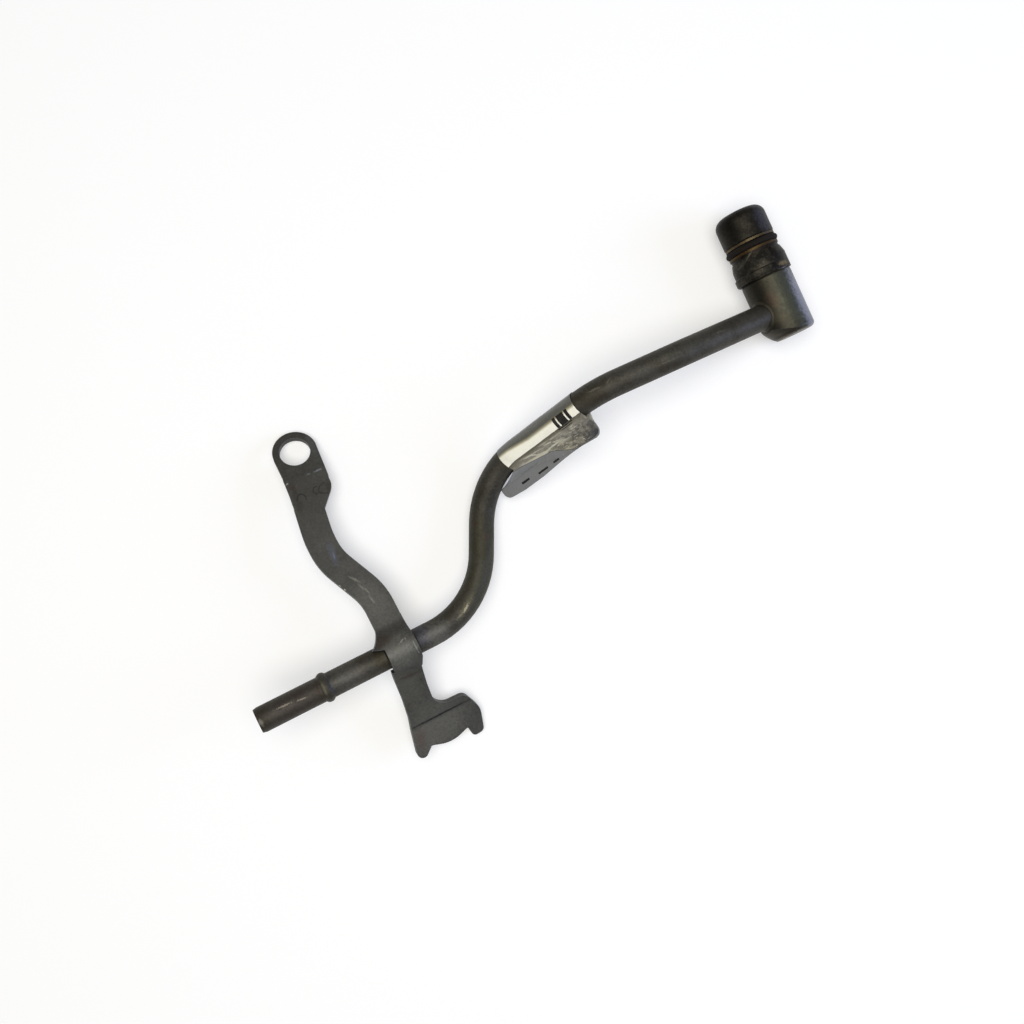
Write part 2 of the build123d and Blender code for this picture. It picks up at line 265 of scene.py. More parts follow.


# Tube: drawn low-carbon steel, dull from the brazing furnace. The eye sees grey brown with
# greenish and rusty clouds and small bright scuff marks. Painted shade darkens the top bend,
# and painted highlights and painted light lie along the run to the block, on the S bend, on
# the bead, past the bead and beside the saddle.
pipeLook = {
    "name": "furnaceBrazedTubeSteel", "base": "#413E36", "roughness": 0.55, "metallic": 0.6,
    "mottle": 0.22,
    "patches": [("#46443D", 9, 0.42, 0.66, 0.8), ("#342F23", 14, 0.46, 0.66, 0.8),
                ("#353829", 6, 0.55, 0.72, 0.45), ("#2C2A27", 2.2, 0.56, 0.72, 0.45)],
    "patchGloss": 0.05, "scratches": ("#6C695E", 7, 0.3, 0.45), "scratchTurn": 28, "grain": 0.35,
    "bump": 0.45,
    "marks": [((-23.0, -32.0, 16), (13, 26, 20), 0, "#3C3B2B", 0.5),
              ((-92.0, -82.0, 34), (13, 6, 9), 26, "#3D3430", 0.5),
              ((-68.0, -70.5, 27), (3.4, 3.0, 5), 26, "#43302A", 0.22),
              ((-60.6, -67.6, 24), (2.2, 3.6, 6), 26, "#3E3522", 0.55),
              ((-102.5, -88.6, 38), (0.7, 1.5, 3), 26, "#8A867C", 0.5),
              # painted shade over the top bend
              ((-20.0, -8.0, 18), (7, 8.5, 9), 0, "#1F1E17", 0.75),
              ((-24.7, -16.1, 15), (1.0, 1.5, 6), 0, "#4A3328", 0.4),
              ((-21.2, -21.2, 15), (1.0, 1.5, 6), 0, "#4A3328", 0.4),
              ((-45.0, -58.5, 21), (3.6, 4.4, 6), 26, "#4C4C5A", 0.5),
              # painted light on the tube beside the saddle
              ((-39.5, -58.0, 20), (5.0, 4.5, 6), 26, "#6E6D67", 0.55),
              # painted light on the spigot tube past the bead
              ((-71.5, -72.6, 30), (6.5, 5.0, 8), 26, "#5E5D58", 0.5),
              # painted highlight along the upper side of the tube's run to the block
              ((48.0, 46.9, 30), (32, 1.5, 14), 21.7, "#5A5850", 0.2),
              # painted highlight on the S bend
              ((-28.6, -48.6, 17), (1.3, 5.6, 5), -30, "#6C664F", 0.45),
              ((-77.9, -76.3, 32.5), (0.4, 4.8, 8), 26, "#3A3E4A", 0.65),
              # painted highlight on the bead's face
              ((-80.6, -77.2, 33), (0.6, 2.8, 8), 26, "#7A7664", 0.5),
              ((-82.2, -78.4, 33), (0.35, 3.6, 8), 26, "#3A2C1E", 0.6)],
    "scuffsAndGlints": [((-94.5, -82.7, 36), (4.2, 0.45, 3), 24, "#8C8578", 0.75),
               ((-88.3, -80.6, 35), (2.6, 0.35, 3), 20, "#8C8578", 0.65),
               # painted highlight on the S bend, broken up like scuff marks
               ((-28.4, -48.5, 17), (0.6, 2.6, 5), -30, "#B0A88C", 0.75),
               ((-30.6, -51.4, 18), (0.5, 2.2, 5), -44, "#8A846E", 0.5),
               ((19.5, 33.5, 36), (3.0, 0.6, 5), 24, "#726E63", 0.6),
               ((24.5, 36.5, 36), (1.6, 0.45, 5), 60, "#726E63", 0.5),
               ((46, 43.5, 34), (6.0, 0.5, 5), 22, "#6C695F", 0.55),
               ((66, 55.5, 28), (4.4, 0.5, 5), 22, "#6C695F", 0.5)],
    "brightEdges": ("#69665D", 0.4, 0.7),
}
dress("pipe", metalMaterial(pipeLook))

# Bracket: pressed steel sheet, the same dull furnace grey. Dark marks are left by the press
# tool beside the eye, and bright scuff marks by handling. Painted shade darkens the pad and
# the foot's crease, painted light brightens the saddle, tail and foot, a painted bluish glint
# lies on the arm's bend and a painted highlight along the cut edges.
bracketLook = {
    "name": "pressedSheetSteel", "base": "#3E3D39", "roughness": 0.52, "metallic": 0.45,
    "mottle": 0.18,
    "patches": [("#474641", 12, 0.40, 0.64, 0.8), ("#34332E", 5, 0.50, 0.70, 0.5),
                ("#2F2E2B", 1.6, 0.58, 0.72, 0.35)],
    "patchGloss": 0.04, "scratches": ("#676661", 5, 0.35, 0.35), "scratchTurn": -60, "grain": 0.5,
    "bump": 0.4,
    # painted shade over the pad and the neck
    "marks": [((-91.0, -4.0, 10), (9.5, 8.0, 7), 24, "#302F28", 0.55),
              ((-89.5, -15.0, 13), (7, 8, 7), 24, "#393831", 0.4),
              # painted light on the foot, the saddle's crest and the tail
              ((-40.5, -95.0, 11), (15, 12, 9), 24, "#5B5A54", 0.65),
              ((-53.5, -63.0, 27), (7, 8, 6), 24, "#706F67", 0.6),
              ((-52.0, -80.0, 17), (6.5, 8, 8), 24, "#55544C", 0.6),
              ((-96.6, -1.8, 12.0), (1.5, 1.2, 3), 20, "#32241D", 0.65),
              ((-95.3, -4.6, 12.0), (1.0, 2.4, 3), 20, "#2A1C17", 0.5),
              ((-93.4, -9.4, 12.0), (1.4, 3.4, 4), 15, "#25231D", 0.55),
              # painted bluish glint along the arm's bend, partly a scuff
              ((-80.0, -27.5, 15.9), (1.4, 5.2, 4), 22, "#50535E", 0.5),
              ((-60.5, -60.8, 24.6), (4.4, 2.2, 5), 26, "#38291D", 0.65),
              ((-56.6, -72.4, 24.0), (2.4, 1.0, 6), 26, "#3A2A26", 0.5),
              # painted shade in the foot's crease
              ((-37.7, -90.4, 11.0), (14.8, 0.42, 8), 25.2, "#181716", 0.95),
              ((-46.6, -100.4, 10.4), (2.2, 4.2, 6), 5, "#4C3E38", 0.5),
              ((-49.7, -74.1, 21), (5.0, 0.7, 6), 22, "#3A2A24", 0.5),
              ((-82.2, -2.4, 9.8), (1.3, 4.0, 3), 20, "#2B261F", 0.55),
              ((-89.3, 13.0, 2), (2.2, 7.0, 5), 24, "#5E5E5E", 0.5),
              ((-81.5, 10.5, 2), (3.0, 7.0, 5), 24, "#55565A", 0.5),
              ((-64.5, -45.5, 18), (6.0, 9.5, 7), 40, "#5A5953", 0.5)],
    "scuffsAndGlints": [((-98.4, -0.6, 11.7), (0.7, 0.35, 2), 30, "#A5A39B", 0.8),
               ((-87.0, 5.0, 8.6), (1.9, 0.55, 3), 27, "#82838A", 0.7),
               ((-90.6, 3.4, 9.4), (1.1, 0.4, 3), 20, "#77787C", 0.55),
               # painted bluish glint along the arm's bend, partly a scuff
               ((-79.4, -28.6, 15.9), (0.45, 1.9, 4), 24, "#6A6F8C", 0.5),
               ((-71.4, -37.4, 17.4), (0.6, 3.1, 4), 62, "#7E7C72", 0.55),
               ((-68.6, -40.4, 17.6), (0.5, 2.6, 4), 50, "#7A786D", 0.5),
               ((-64.6, -45.0, 18.1), (0.5, 2.4, 4), 40, "#7E7C72", 0.55),
               ((-66.2, -42.0, 18.1), (0.35, 2.0, 4), 44, "#7E7C70", 0.5),
               ((-74.8, -41.4, 19.0), (0.7, 0.4, 3), -30, "#C9C3AB", 0.9),
               ((-76.8, -39.9, 18.6), (0.5, 0.3, 3), -30, "#A8A38E", 0.8),
               ((-52.4, -60.2, 26.1), (0.35, 1.5, 4), -38, "#96948A", 0.8),
               ((-51.0, -59.3, 26.1), (0.3, 0.7, 4), 30, "#96948A", 0.7),
               ((-46.9, -62.6, 25.6), (0.32, 3.2, 5), 26, "#8B8B87", 0.65),
               ((-85.1, -3.9, 10.4), (3.2, 0.5, 3), -5, "#1D1B1A", 0.7)],
    "arcs": [((-92.6, -7.0, 12.1), (1.7, 2.6, 6), 12, -0.1, "#1A1817", 0.8),
             ((-86.9, -2.9, 11.0), (1.5, 1.6, 6), 100, 0.0, "#1D1B1A", 0.75),
             ((-84.9, -1.9, 10.6), (1.9, 1.3, 6), 60, 0.2, "#1D1B1A", 0.75)],
    # bluish bright edges: wear, and a painted highlight along the cut edges
    "brightEdges": ("#7B818B", 0.35, 0.85),
}
dress("bracket", metalMaterial(bracketLook))

# Block: turned steel bar, smooth and a little warm, with a painted cold sheen and painted
# highlight on its outer side and painted shade on the other side
blockLook = {
    "name": "turnedBarSteel", "base": "#36332B", "roughness": 0.48, "metallic": 0.85, "mottle": 0.14,
    "origin": jointPoint, "axis": connectorAxis, "turning": 0.35,
    "bands": [(-13.0, -10.5, "#625D52", 0.85), (-10.3, -9.5, "#1E1A14", 0.6)],
    "patches": [("#474335", 8, 0.42, 0.66, 0.7), ("#3E322B", 6, 0.52, 0.70, 0.45),
                ("#313127", 3, 0.55, 0.72, 0.4)],
    "patchGloss": 0.04, "scratches": ("#645F52", 3, 0.3, 0.25), "scratchTurn": 66, "grain": 0.3,
    "bump": 0.22,
    # painted highlight and painted cold sheen on the outer side
    "marks": [((95.6, 71.7, 20), (4.2, 15.0, 8), 24.3, "#575A4C", 0.6),
              ((101.2, 70.6, 18), (2.9, 16.0, 8), 24.3, "#90939F", 0.8),
              # painted shade on the other side
              ((84.2, 73.8, 15), (4.4, 8.5, 12), 24.3, "#1C1B16", 0.6),
              ((88.5, 70.0, 20), (2.2, 3.4, 8), 24.3, "#4A3A30", 0.4)],
    "brightEdges": ("#6A6966", 0.35, 0.7),
}
dress("connector_block", metalMaterial(blockLook))

# Plug: turned steel, heat-tinted. Orange and beige bands stand beside the seal, the cone
# has a brown stain on its outer side and the nose is darkest. The nose has a painted cold
# sheen on its outer side and painted shade on the other.
plugLook = {
    "name": "heatTintedPlugSteel", "base": "#26241F", "roughness": 0.52, "metallic": 0.9,
    "mottle": 0.35, "origin": jointPoint, "axis": connectorAxis, "turning": 0.3,
    "patches": [("#47433B", 4.2, 0.44, 0.62, 0.6), ("#15120F", 2.8, 0.48, 0.66, 0.7),
                ("#524D43", 1.3, 0.54, 0.70, 0.5)],
    "patchGloss": 0.05, "scratches": ("#49463E", 3, 0.3, 0.4), "scratchTurn": 66, "grain": 0.3,
    "bump": 0.3,
    "bands": [(22.9, 24.4, "#1C1510", 0.7), (24.4, 25.3, "#49381F", 0.95),
              (28.2, 29.1, "#564A34", 0.95), (25.5, 28.0, "#17120C", 0.7),
              (29.3, 41.5, "#23201B", 0.65)],
    "marks": [((92.0, 87.2, 18), (2.5, 1.8, 7), 24, "#170B09", 0.95),
              ((93.2, 84.0, 17), (2.2, 0.9, 7), 24, "#8A7A5A", 0.75),
              ((86.5, 93.6, 18), (2.4, 0.9, 7), 24, "#2B1B14", 0.7),
              ((78.5, 84.6, 17), (3.4, 0.6, 7), 60, "#4B483F", 0.5),
              # painted cold sheen on the nose's outer side
              ((85.4, 101.4, 19), (3.2, 6.4, 8), 24, "#4A4A51", 0.6),
              ((80.5, 107.8, 17), (4.2, 1.6, 8), 24, "#3A3A42", 0.5),
              ((92.2, 88.6, 16), (2.2, 5.0, 9), 24, "#403F3C", 0.45),
              # painted shade on the nose's other side
              ((72.0, 98.5, 16), (2.6, 6.5, 9), 24, "#141310", 0.6)],
    "scuffsAndGlints": [((93.6, 82.5, 16), (2.8, 0.5, 6), 24, "#B0B0B4", 0.75),
               ((80.0, 86.5, 20), (3.0, 0.4, 5), 60, "#77736A", 0.5)],
    "brightEdges": ("#4B4941", 0.3, 0.7),
}
dress("connector_spigot", metalMaterial(plugLook))

# Braze: copper that ran in the furnace and dulled to a dark olive brown
brazeLook = {
    "name": "furnaceCopperBraze", "base": "#2B2920", "roughness": 0.5, "metallic": 0.6,
    "mottle": 0.2,
    "patches": [("#3B3424", 3, 0.42, 0.66, 0.7), ("#1B1A15", 1.6, 0.5, 0.7, 0.6)],
    "patchGloss": 0.06, "scratches": ("#55503F", 2, 0.3, 0.3), "scratchTurn": 20, "grain": 0.25,
    "bump": 0.5,
}
braze = metalMaterial(brazeLook)
dress("block_braze", braze)
dress("bracket_braze", braze)
print("metals dressed")

# Seal ring: moulded rubber O-ring with a fine mould line round its middle
sealLook = {
    "ringRadius": 9.3, "cordRadius": 1.25, "mouldLine": 0.05, "mouldWidth": 0.12,
    "aroundCount": 160, "cordCount": 40, "distance": 26.75,  # mm from the joint point
    "colour": "#120E09", "dust": "#1D160F", "roughness": 0.8, "dustRoughness": 0.9, "ior": 1.3,
    "cloudSize": 1.5, "dustNoise": (0.45, 0.7), "grain": 0.2, "bump": 0.3, "bumpHeight": 0.03,
}


def rubberMaterial(look):
    material, tree = newMaterial("mouldedNitrileRubber")  # matt black with a faint dusty bloom
    where = addNode(tree, "ShaderNodeTexCoord").outputs["Object"]
    cloud = addNode(tree, "ShaderNodeTexNoise",
                    {"Scale": 1 / (look["cloudSize"] * mm), "Detail": 5.0}, {"Vector": where})
    low, high = look["dustNoise"]
    mask = addNode(tree, "ShaderNodeMapRange", {"From Min": low, "From Max": high},
                   {"Value": cloud})
    colour = addNode(tree, "ShaderNodeMix",
                     {"data_type": "RGBA", 6: linear(look["colour"]), 7: linear(look["dust"])},
                     {0: mask})
    rough = addNode(tree, "ShaderNodeMapRange",
                    {"To Min": look["roughness"], "To Max": look["dustRoughness"]},
                    {"Value": mask})
    fine = addNode(tree, "ShaderNodeTexNoise",
                   {"Scale": 1 / (look["grain"] * mm), "Detail": 3.0}, {"Vector": where})
    bump = addNode(tree, "ShaderNodeBump",
                   {"Strength": look["bump"], "Distance": look["bumpHeight"] * mm},
                   {"Height": fine})
    shader = addNode(tree, "ShaderNodeBsdfPrincipled", {"IOR": look["ior"]},
                     {"Base Color": colour.outputs[2], "Roughness": rough, "Normal": bump})
    addNode(tree, "ShaderNodeOutputMaterial", None, {"Surface": shader})
    return material


def sealRing(look):
    inputs = [  # name, kind of socket, value
        ("Ring radius", "Float", look["ringRadius"] * mm),
        ("Cord radius", "Float", look["cordRadius"] * mm),
        ("Mould line", "Float", look["mouldLine"] * mm),
        ("Mould width", "Float", look["mouldWidth"] * mm),
        ("Around", "Int", look["aroundCount"]),
        ("Cord sides", "Int", look["cordCount"]),
        ("Centre", "Vector", list((jointPoint + connectorAxis * look["distance"]) * mm)),
        ("Turn", "Vector", list(connectorAxis.to_track_quat("Z", "Y").to_euler())),
        ("Rubber", "Material", rubberMaterial(look)),
    ]
    tree = bpy.data.node_groups.new("sealRingTree", "GeometryNodeTree")
    sockets = {}
    for name, kind, value in inputs:
        sockets[name] = tree.interface.new_socket(name, in_out="INPUT",
                                                  socket_type="NodeSocket" + kind)
    tree.interface.new_socket("Geometry", in_out="OUTPUT", socket_type="NodeSocketGeometry")
    given = addNode(tree, "NodeGroupInput").outputs
    path = addNode(tree, "GeometryNodeCurvePrimitiveCircle", None,
                   {"Resolution": given["Around"], "Radius": given["Ring radius"]})
    profile = addNode(tree, "GeometryNodeCurvePrimitiveCircle", None,
                      {"Resolution": given["Cord sides"], "Radius": given["Cord radius"]})
    cord = addNode(tree, "GeometryNodeCurveToMesh", None,
                   {"Curve": path, "Profile Curve": profile})

    # mould line: the outermost stretch of the cord is pushed out, most at its middle
    spot = addNode(tree, "ShaderNodeSeparateXYZ", None,
                   {0: addNode(tree, "GeometryNodeInputPosition")})
    flat = addNode(tree, "ShaderNodeCombineXYZ", None,
                   {"X": spot.outputs["X"], "Y": spot.outputs["Y"]})
    reach = addNode(tree, "ShaderNodeVectorMath", {"operation": "LENGTH"}, {0: flat})
    outer = addNode(tree, "ShaderNodeMath", {"operation": "GREATER_THAN"},
                    {0: reach.outputs["Value"], 1: given["Ring radius"]})
    rise = addNode(tree, "ShaderNodeMath", {"operation": "ABSOLUTE"}, {0: spot.outputs["Z"]})
    amount = addNode(tree, "ShaderNodeMapRange", {"To Min": 1.0, "To Max": 0.0},
                     {"Value": rise, "From Max": given["Mould width"]})
    for factor in (outer, given["Mould line"]):
        amount = addNode(tree, "ShaderNodeMath", {"operation": "MULTIPLY"},
                         {0: amount, 1: factor})
    away = addNode(tree, "ShaderNodeVectorMath", {"operation": "NORMALIZE"}, {0: flat})
    push = addNode(tree, "ShaderNodeVectorMath", {"operation": "SCALE"},
                   {0: away, "Scale": amount})
    ridged = addNode(tree, "GeometryNodeSetPosition", None, {"Geometry": cord, "Offset": push})
    placed = addNode(tree, "GeometryNodeTransform", None,
                     {"Geometry": ridged, "Translation": given["Centre"],
                      "Rotation": given["Turn"]})
    smooth = addNode(tree, "GeometryNodeSetShadeSmooth", None, {0: placed})
    real = addNode(tree, "GeometryNodeRealizeInstances", None, {0: smooth})
    coated = addNode(tree, "GeometryNodeSetMaterial", None,
                     {"Geometry": real, "Material": given["Rubber"]})
    addNode(tree, "NodeGroupOutput", None, {0: coated})

    holder = bpy.data.objects.new("sealRingMaker", bpy.data.meshes.new("sealRingMaker"))
    bpy.context.scene.collection.objects.link(holder)
    modifier = holder.modifiers.new("ring", "NODES")
    modifier.node_group = tree
    for name, kind, value in inputs:
        modifier[sockets[name].identifier] = value
    ready = holder.evaluated_get(bpy.context.evaluated_depsgraph_get())
    shaped = bpy.data.meshes.new_from_object(ready)
    holder.modifiers.remove(modifier)
    bpy.data.objects.remove(holder)
    ring = bpy.data.objects.new("sealRing", shaped)
    bpy.context.scene.collection.objects.link(ring)
    return ring


ring = sealRing(sealLook)
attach(ring, "root")
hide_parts("seal_ring")
print("seal ring made:", len(ring.data.polygons), "faces")

# Label: one strip of film wrapped round the tube, with its ends pressed together as a flag.
# Distances run down the straight tube from its top corner and on into the bend below.
# In its colours, q is the way across the strip from the tube's crest, growing toward the
# flag's upper ply, and d the distance down the tube, both in mm.
labelLook = {
    "runTop": Vector((13.3539, 28.1258, 29.4279)),
    "runDown": Vector((-0.70617, -0.507249, -0.493987)), "straight": 32.35,
    "bendRadius": 30.0, "bendInward": Vector((0.343454, -0.855505, 0.387494)),
    "wrapRadius": 5.15, "meet": 8.5, "halfGap": 0.14, "thickness": 0.12,
    # the strip along the tube, and how far the flag reaches past its two ends. A flare is
    # the distance across at which that begins and the one over which it grows
    "above": 1.5, "length": 37.0, "lowSpread": 10.4, "highSpread": 0.8,
    "highFlare": (1.0, 8.0), "lowFlare": (5.2, 3.3), "lowPower": 0.6,
    # width of the two plies, by the share of the way down
    "lowerReach": [(0.0, 14.0), (0.2, 13.1), (0.4, 13.4), (0.62, 14.1), (0.85, 14.2), (1.0, 13.6)],
    "upperReach": [(0.0, 13.3), (0.27, 13.2), (0.65, 8.9), (1.0, 8.8)],
    "cornerRound": 3.0, "rows": 132, "upperSteps": 16, "wrapSteps": 110, "lowerSteps": 18,
    "wrinkle": 0.16, "wrinkleScale": (0.35, 0.12, 3.0),  # per mm of q and d, and its layer
    "crumple": 0.55, "crumpleScale": (0.55, 0.42, 9.0), "fineScale": (1.2, 1.0, 5.0),
    "fineShare": 0.5, "crumpleFrom": 1.2, "crumpleOver": 3, "crumpleEnd": 34,
    "flat": (0.047, 0.0497),
    "cutArea": 1833,  # of the flat outline: wrap 1463, upper ply 114, lower ply 256
    "uvSpan": (80.0, 60.0), "uvStart": (0.5, 0.05),

    "creaseSize": 2.4, "creaseBump": 0.7, "creaseHeight": 0.25,
    # the slope's ground: brown where the tube shows through the clear film, turning cream, partly
    # the film's tint and partly painted glare
    "brown": "#625D4D", "cream": "#8D897C", "creamFade": (2.9, 6.5),
    "creamNoise": (0.3, 0.65), "creamShare": (0.55, 1.2),
    "crushed": "#5A5854", "crushedDown": (24.0, 9.0), "crushedAcross": (4.0, 9.0),
    "crushedNoise": (0.62, 0.42), "crushedLeast": 0.1,
    # glints: pattern scale, where they fade in across, out down the strip and in at its top,
    # noise peak and strength
    "glint": "#D8D2BC", "glintFlow": (0.9, 0.12, 0.16), "glintRise": 0.07,
    "glints": [(0.62, (3.6, 5.0), (36.0, 27.0), (8.0, 15.0), 0.50, 0.7),
               (1.9, (4.0, 5.5), (21.0, 15.0), (0.5, 4.0), 0.58, 0.65)],
    # free end of the strip as two lines: mm across per mm down, and mm across at the top.
    # Then its soft width, and its dark edge: outer and inner distance and strength
    "freeEdge": [(0.187, 13.1), (0.54, 19.98)], "edgeSoft": 0.05, "edgeLine": (0.16, 0.08, 0.8),
    "ply": "#7B7D7E", "ink": "#22211F",
    "dim": "#35353F", "dimDown": (5.5, 0.5), "dimAcross": (9.5, 13.5, 0.9),
    # layers over the strip: hex, kind of distance across, from, to and soft width. To the
    # leaning kind some mm are added down the strip: from, to and how many
    "lean": (22.0, 42.0, 2.4),
    "layers": [("#FCFAEC", "across", -30.0, 2.9, 0.05),  # white paper
               # painted shade on the side of the strip that turns away: olive at its edge, grey,
               # then darker
               ("#A39D80", "leaning", -30.0, -0.5, 0.45),  # olive where the tube turns away
               ("#5C5C56", "leaning", -30.0, -1.3, 0.45),
               ("#3E3E3C", "across", -30.0, -5.2, 1.2),
               ("#C4C3BB", "across", -30.0, -11.0, 1.8),  # back of the strip, not in shade
               ("#7C7E7F", "across", -40.0, -25.6, 0.1),  # lower ply of the flag
               ("#22211F", "across", 2.86, 3.02, 0.05)],
    # plain printed bars: from and to across, from and to down
    "bars": [(-1.5, 2.9, 1.9, 3.3), (-1.5, 2.9, 3.9, 7.3), (-1.5, 2.9, 7.9, 9.3),
             (3.2, 3.8, 2.9, 9.7), (4.3, 4.7, 3.7, 9.1), (-29.7, -28.8, 34.0, 38.0),
             (-30.3, -29.5, 24.5, 29.5), (-30.2, -29.4, 18.5, 21.5)],
    "dirtSize": 5, "soil": (0.5, 0.75, 0.18), "glossNoise": (0.3, 0.7), "gloss": (0.13, 0.32),
}


def runAt(look, distance, follow):
    # follow: 1 where the film lies on the tube's bend, 0 where the flag stays straight
    if distance <= look["straight"]:
        return look["runTop"] + look["runDown"] * distance, look["runDown"]
    radius = look["bendRadius"]
    angle = (distance - look["straight"]) / radius
    corner = look["runTop"] + look["runDown"] * look["straight"]
    spot = corner + radius * (math.sin(angle) * look["runDown"]
                              + (1 - math.cos(angle)) * look["bendInward"])
    way = math.cos(angle) * look["runDown"] + math.sin(angle) * look["bendInward"]
    ahead = look["runTop"] + look["runDown"] * distance
    return ahead.lerp(spot, follow), look["runDown"].lerp(way, follow).normalized()


def tableAt(table, t):
    for (t0, v0), (t1, v1) in zip(table, table[1:]):
        if t <= t1:
            return v0 + (v1 - v0) * (t - t0) / (t1 - t0)
    return table[-1][1]


def share(value, start, width):
    return min(1.0, max(0.0, (value - start) / width))


def filmSection(look):
    # (ply, share of it): ply 1 is the flag's upper ply, 0 the wrap, -1 the lower ply
    upper, wrap, lower = look["upperSteps"], look["wrapSteps"], look["lowerSteps"]
    section = [(1, 1 - i / upper) for i in range(upper)]
    section += [(0, i / wrap) for i in range(wrap + 1)]
    section += [(-1, (i + 1) / lower) for i in range(lower)]
    return section


def filmPoint(look, ply, part, t):
    # section point (across, up), its outward way, and q
    radius, meet, gap = look["wrapRadius"], look["meet"], look["halfGap"]
    touch = math.acos(radius / meet)
    slope = math.sqrt(meet ** 2 - radius ** 2)
    turn = 2 * math.pi - 2 * touch
    total = 2 * slope + radius * turn
    crest = slope + radius * (math.pi / 2 - touch)
    if ply == 1:
        across = meet + part * (tableAt(look["upperReach"], t) - meet)
        return across, gap, (0.0, 1.0), crest + across - meet
    if ply == -1:
        across = meet + part * (tableAt(look["lowerReach"], t) - meet)
        return across, -gap, (0.0, -1.0), crest - total - (across - meet)
    run = part * total
    if run < slope or run > total - slope:
        side = 1 if run < slope else -1
        down = (run if side == 1 else total - run) / slope
        across = meet + down * (radius * math.cos(touch) - meet)
        up = gap + down * (radius * math.sin(touch) - gap)
        return across, side * up, (math.cos(touch), side * math.sin(touch)), crest - run
    angle = touch + (run - slope) / radius
    away = (math.cos(angle), math.sin(angle))
    return radius * away[0], radius * away[1], away, crest - run


def filmLift(look, q, distance):
    # wrinkles over the tube, and crumpled film toward the flag's upper end
    def noiseAt(scale):
        return noise.noise(Vector((q * scale[0], distance * scale[1], scale[2])))
    lift = look["wrinkle"] * max(0.0, noiseAt(look["wrinkleScale"]))
    if q > look["crumpleFrom"]:
        hold = share(q, look["crumpleFrom"], look["crumpleOver"])
        hold *= max(0.0, 1 - distance / look["crumpleEnd"])
        crumpled = noiseAt(look["crumpleScale"]) + look["fineShare"] * noiseAt(look["fineScale"])
        lift += look["crumple"] * hold * abs(crumpled)
    return lift


def labelFilm(look):
    section = filmSection(look)
    vertices, coordinates = [], []
    for row in range(look["rows"]):
        t = row / (look["rows"] - 1)
        for ply, part in section:
            across, up, away, q = filmPoint(look, ply, part, t)
            flag = share(across, *look["highFlare"])
            beside = share(across, *look["lowFlare"])
            start = -look["above"] - look["highSpread"] * flag
            end = look["length"] + look["lowSpread"] * beside ** look["lowPower"]
            if ply:  # rounded free corners
                reach = tableAt(look["upperReach"] if ply == 1 else look["lowerReach"], t)
                over = max(0.0, across - reach + look["cornerRound"])
                left = max(0.0, look["cornerRound"] ** 2 - over ** 2)
                cut = look["cornerRound"] - math.sqrt(left)
                start, end = start + cut, end - cut
            distance = start + t * (end - start)
            spot, way = runAt(look, distance, 1 - beside)
            side = (-way).cross(Vector((0, 0, 1))).normalized()
            rise = side.cross(-way)
            lift = filmLift(look, q, distance)
            across, up = across + away[0] * lift, up + away[1] * lift
            vertices.append((spot + side * across + rise * up) * mm)
            coordinates.append((look["uvStart"][0] + q / look["uvSpan"][0],
                                distance / look["uvSpan"][1] + look["uvStart"][1]))
    width = len(section)
    faces = [(r * width + c, r * width + c + 1, (r + 1) * width + c + 1, (r + 1) * width + c)
             for r in range(look["rows"] - 1) for c in range(width - 1)]
    mesh = bpy.data.meshes.new("labelFilm")
    mesh.from_pydata(vertices, [], faces)
    layer = mesh.uv_layers.new(name="film")
    for loop in mesh.loops:
        layer.data[loop.index].uv = coordinates[loop.vertex_index]
    mesh.polygons.foreach_set("use_smooth", [True] * len(mesh.polygons))
    film = bpy.data.objects.new("labelFilm", mesh)
    bpy.context.scene.collection.objects.link(film)
    solid = film.modifiers.new("thickness", "SOLIDIFY")
    solid.thickness, solid.offset = look["thickness"] * mm, 0.0
    return film


